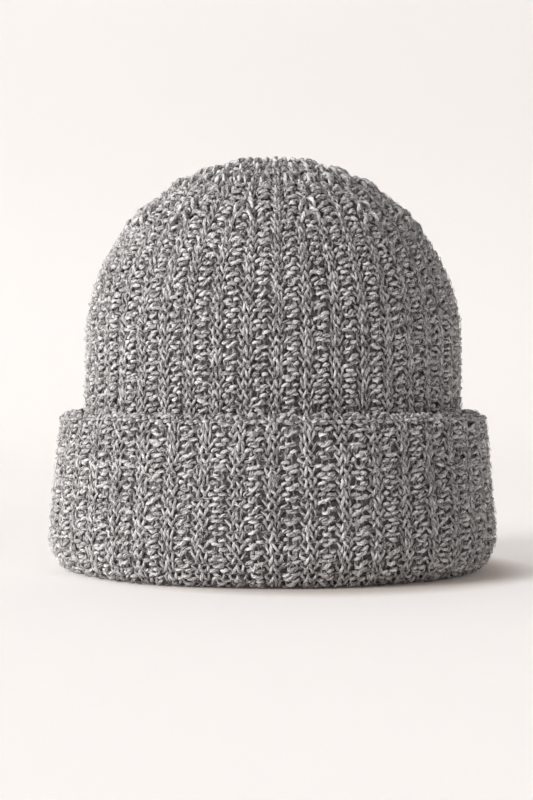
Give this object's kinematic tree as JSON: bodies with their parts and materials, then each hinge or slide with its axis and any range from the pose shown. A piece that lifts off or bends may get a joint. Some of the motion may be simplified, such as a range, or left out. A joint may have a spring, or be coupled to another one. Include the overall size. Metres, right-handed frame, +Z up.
{
  "type": "knit beanie",
  "caption": "Rib-knit beanie in a marled wool yarn, with a rounded crown and a deep turned-up cuff that turns down over the ears.",
  "frame": {"origin": "on the hat's axis, at the level it stands on (the flattened underside of the cuff's fold)", "axes": "+Z up through the crown, the front towards -Y, the back seam towards +Y"},
  "size_m": [0.2268, 0.2268, 0.2075],
  "materials": {
    "rib_knit": "marled grey wool, rib knit",
    "seam_yarn": "marled grey wool, sewn",
    "loose_yarn": "marled grey wool yarn"
  },
  "bodies": {
    "hat_body": {"inner_cuff_layer": "rib_knit", "body_wall": "rib_knit", "crown_side": "rib_knit", "crown_shoulder": "rib_knit", "crown_first_decrease": "rib_knit", "crown_last_decrease": "rib_knit", "body_seam": "seam_yarn", "crown_seam": "seam_yarn", "crown_gather_yarn": "loose_yarn", "crown_yarn_end": "loose_yarn"},
    "cuff": {"cuff_fold": "rib_knit", "cuff_wall": "rib_knit", "cast_on_edge": "rib_knit", "cuff_seam": "seam_yarn", "cuff_yarn_end": "loose_yarn"}
  },
  "joints": [
    {"name": "cuff_turn_down", "type": "slide", "parent": "hat_body", "child": "cuff", "axis": [0, 0, -1], "range_m": [0, 0.07]}
  ]
}
